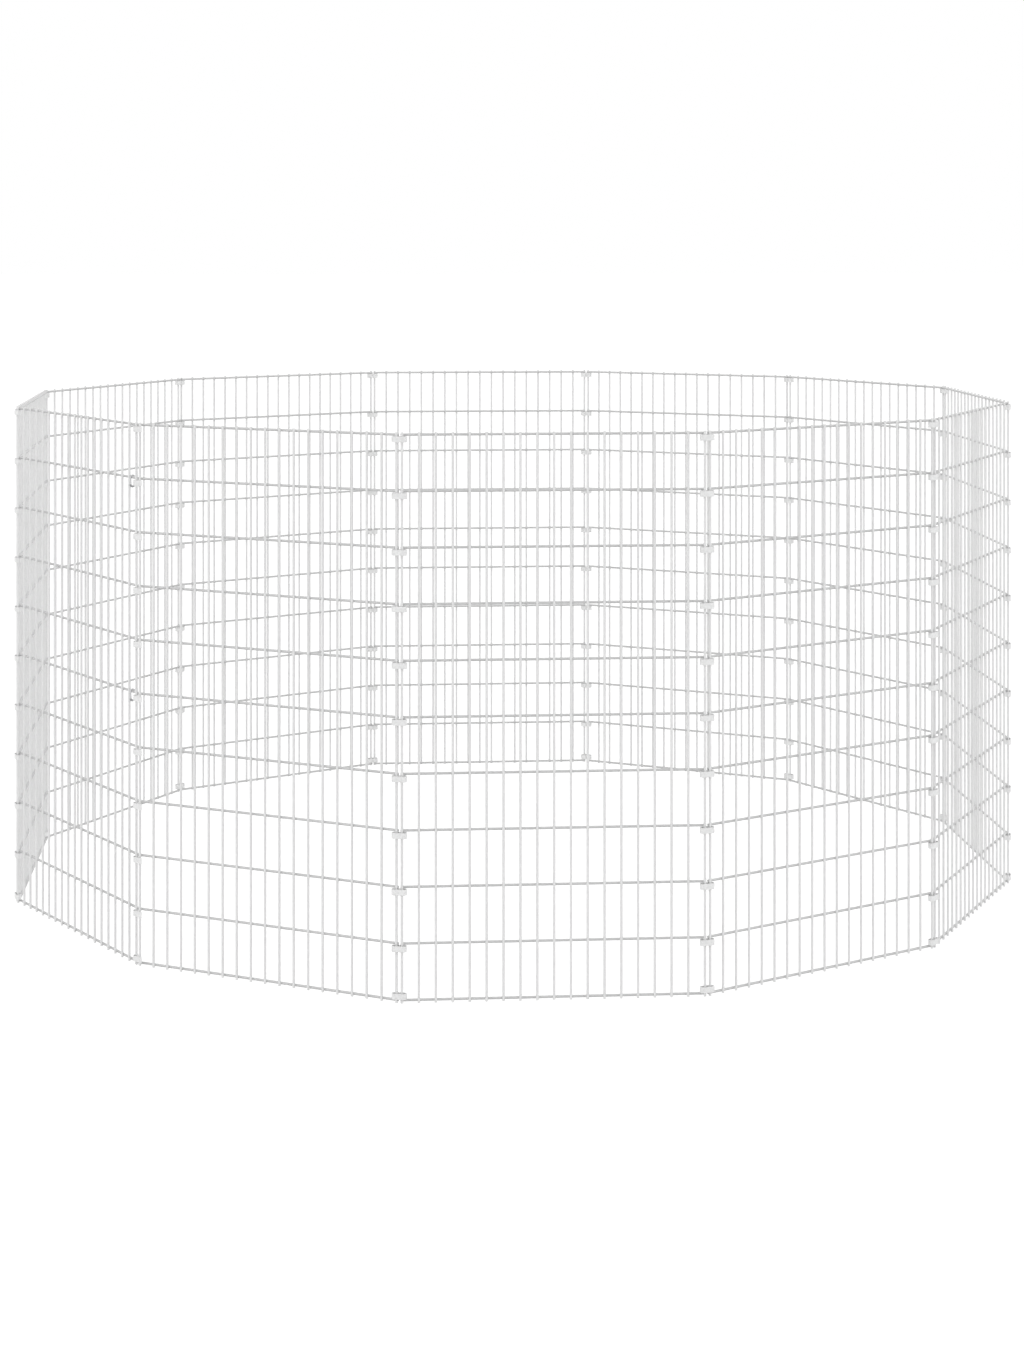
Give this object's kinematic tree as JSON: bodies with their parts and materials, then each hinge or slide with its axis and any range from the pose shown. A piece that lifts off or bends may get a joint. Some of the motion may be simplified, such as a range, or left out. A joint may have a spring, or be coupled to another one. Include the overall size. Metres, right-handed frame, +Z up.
{
  "type": "animal pen",
  "caption": "Free-standing ring of hinged welded-wire panels that fences in small animals, with a swing-out gate panel and folding joints",
  "frame": {"origin": "centre of the ring on the ground, under the pen's bounding box", "axes": "+Z up; -Y towards the front panel; +X to the right seen from the front"},
  "size_m": [2.0692, 2.0692, 1.009],
  "materials": {
    "galvanised_wire": "galvanised welded wire, satin grey",
    "galvanised_strip": "galvanised steel strip, satin grey",
    "hook_zinc": "zinc-plated wire, duller grey"
  },
  "bodies": {
    "gate": {"gate_panel": "galvanised_wire", "gate_catch_top": "galvanised_strip", "gate_catch_mid": "galvanised_strip", "gate_catch_low": "galvanised_strip"},
    "panel_02": {"panel_02": "galvanised_wire"},
    "panel_03": {"panel_03": "galvanised_wire"},
    "panel_04": {"panel_04": "galvanised_wire"},
    "panel_05": {"panel_05": "galvanised_wire"},
    "panel_06": {"panel_06": "galvanised_wire"},
    "panel_07": {"panel_07": "galvanised_wire"},
    "panel_08": {"panel_08": "galvanised_wire"},
    "panel_09": {"panel_09": "galvanised_wire"},
    "panel_10": {"panel_10": "galvanised_wire"},
    "panel_11": {"panel_11": "galvanised_wire"},
    "panel_12": {"panel_12": "galvanised_wire"},
    "clips_01": {"clip_01_top": "galvanised_strip", "clip_01_mid": "galvanised_strip", "clip_01_low": "galvanised_strip"},
    "clips_03": {"clip_03_top": "galvanised_strip", "clip_03_mid": "galvanised_strip", "clip_03_low": "galvanised_strip"},
    "clips_04": {"clip_04_top": "galvanised_strip", "clip_04_mid": "galvanised_strip", "clip_04_low": "galvanised_strip"},
    "clips_05": {"clip_05_top": "galvanised_strip", "clip_05_mid": "galvanised_strip", "clip_05_low": "galvanised_strip"},
    "clips_06": {"clip_06_top": "galvanised_strip", "clip_06_mid": "galvanised_strip", "clip_06_low": "galvanised_strip"},
    "clips_07": {"clip_07_top": "galvanised_strip", "clip_07_mid": "galvanised_strip", "clip_07_low": "galvanised_strip"},
    "clips_08": {"clip_08_top": "galvanised_strip", "clip_08_mid": "galvanised_strip", "clip_08_low": "galvanised_strip"},
    "clips_09": {"clip_09_top": "galvanised_strip", "clip_09_mid": "galvanised_strip", "clip_09_low": "galvanised_strip"},
    "clips_10": {"clip_10_top": "galvanised_strip", "clip_10_mid": "galvanised_strip", "clip_10_low": "galvanised_strip"},
    "clips_11": {"clip_11_top": "galvanised_strip", "clip_11_mid": "galvanised_strip", "clip_11_low": "galvanised_strip"},
    "clips_12": {"clip_12_top": "galvanised_strip", "clip_12_mid": "galvanised_strip", "clip_12_low": "galvanised_strip"},
    "hook_upper": {"gate_hook_upper": "hook_zinc"},
    "hook_lower": {"gate_hook_lower": "hook_zinc"}
  },
  "joints": [
    {"name": "clips_08_turn", "type": "hinge", "parent": "panel_08", "child": "clips_08", "pos_m": [0.74731, 0.75438, 0], "axis": [0, 0, -1], "range_deg": [0, 75]},
    {"name": "fold", "type": "hinge", "parent": "panel_08", "child": "panel_07", "pos_m": [0.74636, 0.74636, 0], "axis": [0, 0, -1], "range_deg": [0, 147.5]},
    {"name": "clips_07_turn", "type": "hinge", "parent": "panel_07", "child": "clips_07", "pos_m": [1.02438, 0.27966, 0], "axis": [0, 0, -1], "range_deg": [-105, 0]},
    {"name": "panel_06_turn", "type": "hinge", "parent": "panel_07", "child": "panel_06", "pos_m": [1.03072, 0.27618, 0], "axis": [0, 0, -1], "range_deg": [-210, 0]},
    {"name": "clips_06_turn", "type": "hinge", "parent": "panel_06", "child": "clips_06", "pos_m": [1.02697, -0.27, 0], "axis": [0, 0, -1], "range_deg": [0, 75]},
    {"name": "panel_05_turn", "type": "hinge", "parent": "panel_06", "child": "panel_05", "pos_m": [1.01954, -0.27319, 0], "axis": [0, 0, -1], "range_deg": [0, 150]},
    {"name": "clips_05_turn", "type": "hinge", "parent": "panel_05", "child": "clips_05", "pos_m": [0.75438, -0.74731, 0], "axis": [0, 0, -1], "range_deg": [-105, 0]},
    {"name": "panel_04_turn", "type": "hinge", "parent": "panel_05", "child": "panel_04", "pos_m": [0.75454, -0.75454, 0], "axis": [0, 0, -1], "range_deg": [-210, 0]},
    {"name": "clips_04_turn", "type": "hinge", "parent": "panel_04", "child": "clips_04", "pos_m": [0.27966, -1.02438, 0], "axis": [0, 0, -1], "range_deg": [0, 75]},
    {"name": "panel_03_turn", "type": "hinge", "parent": "panel_04", "child": "panel_03", "pos_m": [0.27319, -1.01954, 0], "axis": [0, 0, -1], "range_deg": [0, 150]},
    {"name": "clips_03_turn", "type": "hinge", "parent": "panel_03", "child": "clips_03", "pos_m": [-0.27, -1.02697, 0], "axis": [0, 0, -1], "range_deg": [-105, 0]},
    {"name": "panel_02_turn", "type": "hinge", "parent": "panel_03", "child": "panel_02", "pos_m": [-0.27618, -1.03072, 0], "axis": [0, 0, -1], "range_deg": [-210, 0]},
    {"name": "clips_09_turn", "type": "hinge", "parent": "panel_08", "child": "clips_09", "pos_m": [0.27966, 1.02438, 0], "axis": [0, 0, 1], "range_deg": [-105, 0]},
    {"name": "panel_09_turn", "type": "hinge", "parent": "panel_08", "child": "panel_09", "pos_m": [0.27618, 1.03072, 0], "axis": [0, 0, 1], "range_deg": [-210, 0]},
    {"name": "clips_10_turn", "type": "hinge", "parent": "panel_09", "child": "clips_10", "pos_m": [-0.27, 1.02697, 0], "axis": [0, 0, 1], "range_deg": [0, 75]},
    {"name": "panel_10_turn", "type": "hinge", "parent": "panel_09", "child": "panel_10", "pos_m": [-0.27319, 1.01954, 0], "axis": [0, 0, 1], "range_deg": [0, 150]},
    {"name": "clips_11_turn", "type": "hinge", "parent": "panel_10", "child": "clips_11", "pos_m": [-0.74731, 0.75438, 0], "axis": [0, 0, 1], "range_deg": [-105, 0]},
    {"name": "panel_11_turn", "type": "hinge", "parent": "panel_10", "child": "panel_11", "pos_m": [-0.75454, 0.75454, 0], "axis": [0, 0, 1], "range_deg": [-210, 0]},
    {"name": "clips_12_turn", "type": "hinge", "parent": "panel_11", "child": "clips_12", "pos_m": [-1.02438, 0.27966, 0], "axis": [0, 0, 1], "range_deg": [0, 75]},
    {"name": "panel_12_turn", "type": "hinge", "parent": "panel_11", "child": "panel_12", "pos_m": [-1.01954, 0.27319, 0], "axis": [0, 0, 1], "range_deg": [0, 150]},
    {"name": "clips_01_turn", "type": "hinge", "parent": "panel_12", "child": "clips_01", "pos_m": [-1.02697, -0.27, 0], "axis": [0, 0, -1], "range_deg": [0, 105]},
    {"name": "gate_swing", "type": "hinge", "parent": "panel_12", "child": "gate", "pos_m": [-1.03072, -0.27618, 0], "axis": [0, 0, -1], "range_deg": [0, 206.5]},
    {"name": "hook_upper_swing", "type": "hinge", "parent": "gate", "child": "hook_upper", "pos_m": [-0.76302, -0.72314, 0.9045], "axis": [0.5, -0.866, 0], "range_deg": [-80, 80]},
    {"name": "hook_lower_swing", "type": "hinge", "parent": "gate", "child": "hook_lower", "pos_m": [-0.76302, -0.72314, 0.5045], "axis": [0.5, -0.866, 0], "range_deg": [-80, 80]}
  ],
  "couplings": [
    {"joint": "clips_08_turn", "follows": "fold", "ratio": 0.5},
    {"joint": "clips_07_turn", "follows": "fold", "ratio": -0.7},
    {"joint": "panel_06_turn", "follows": "fold", "ratio": -1.4},
    {"joint": "clips_06_turn", "follows": "fold", "ratio": 0.5},
    {"joint": "panel_05_turn", "follows": "fold", "ratio": 1},
    {"joint": "clips_05_turn", "follows": "fold", "ratio": -0.7},
    {"joint": "panel_04_turn", "follows": "fold", "ratio": -1.4},
    {"joint": "clips_04_turn", "follows": "fold", "ratio": 0.5},
    {"joint": "panel_03_turn", "follows": "fold", "ratio": 1},
    {"joint": "clips_03_turn", "follows": "fold", "ratio": -0.7},
    {"joint": "panel_02_turn", "follows": "fold", "ratio": -1.4},
    {"joint": "clips_09_turn", "follows": "fold", "ratio": -0.7},
    {"joint": "panel_09_turn", "follows": "fold", "ratio": -1.4},
    {"joint": "clips_10_turn", "follows": "fold", "ratio": 0.5},
    {"joint": "panel_10_turn", "follows": "fold", "ratio": 1},
    {"joint": "clips_11_turn", "follows": "fold", "ratio": -0.7},
    {"joint": "panel_11_turn", "follows": "fold", "ratio": -1.4},
    {"joint": "clips_12_turn", "follows": "fold", "ratio": 0.5},
    {"joint": "panel_12_turn", "follows": "fold", "ratio": 1},
    {"joint": "clips_01_turn", "follows": "gate_swing", "ratio": 0.5}
  ]
}
